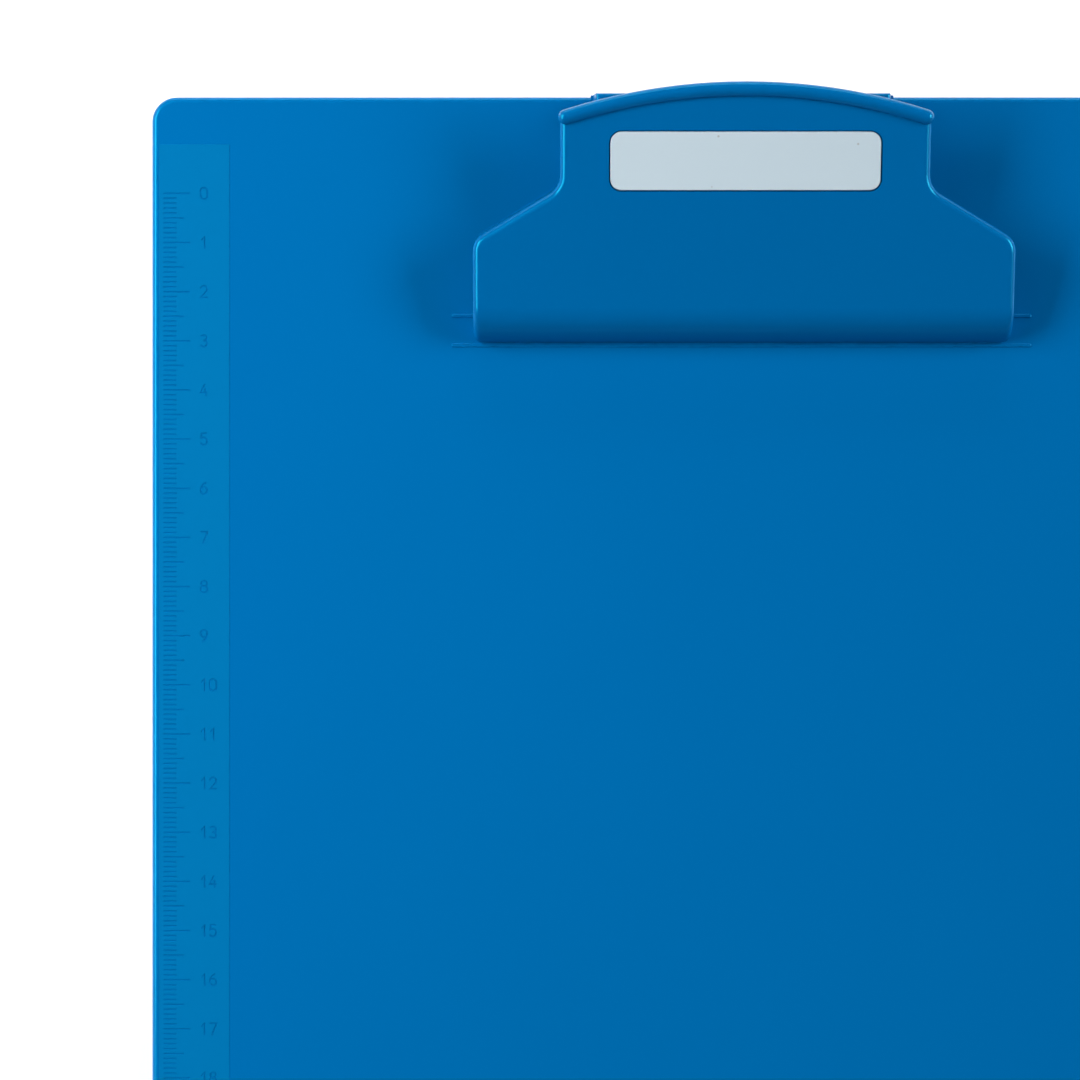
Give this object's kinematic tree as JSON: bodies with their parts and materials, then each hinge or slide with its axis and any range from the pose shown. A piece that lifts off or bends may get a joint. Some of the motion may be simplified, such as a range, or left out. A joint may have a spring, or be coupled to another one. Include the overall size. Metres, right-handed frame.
{
  "type": "clipboard",
  "caption": "Rigid writing board with a spring-loaded paper clip at its head, a raised ruler along one edge and paper guides below the jaw.",
  "frame": {"origin": "middle of the board's back face, on the surface that the clipboard lies on", "axes": "+X across the board to the right seen from the front, +Y up the board towards the clip, +Z out of the board's face"},
  "size_m": [0.24, 0.3209, 0.0218],
  "materials": {
    "board_plastic": "satin blue moulded plastic",
    "clip_plastic": "satin blue moulded plastic",
    "label_plastic": "matt pale grey",
    "pin_steel": "ground and nickel plated",
    "spring_steel": "drawn wire, zinc plated",
    "rivet_steel": "zinc plated"
  },
  "bodies": {
    "board": {"board": "board_plastic", "hinge_base": "clip_plastic", "base_rivets": "rivet_steel", "rivet_washers": "rivet_steel", "spring_left": "spring_steel", "spring_right": "spring_steel"},
    "lever": {"clip_lever": "clip_plastic", "label_plate": "label_plastic", "hinge_pin": "pin_steel"}
  },
  "joints": [
    {"name": "clip_hinge", "type": "hinge", "parent": "board", "child": "lever", "pos_m": [0, 0.136, 0.009], "axis": [-1, 0, 0], "range_deg": [0, 20], "stiffness_Nm_per_rad": 0.525, "springref_deg": -37.13, "deforming": ["spring_left", "spring_right"]}
  ]
}
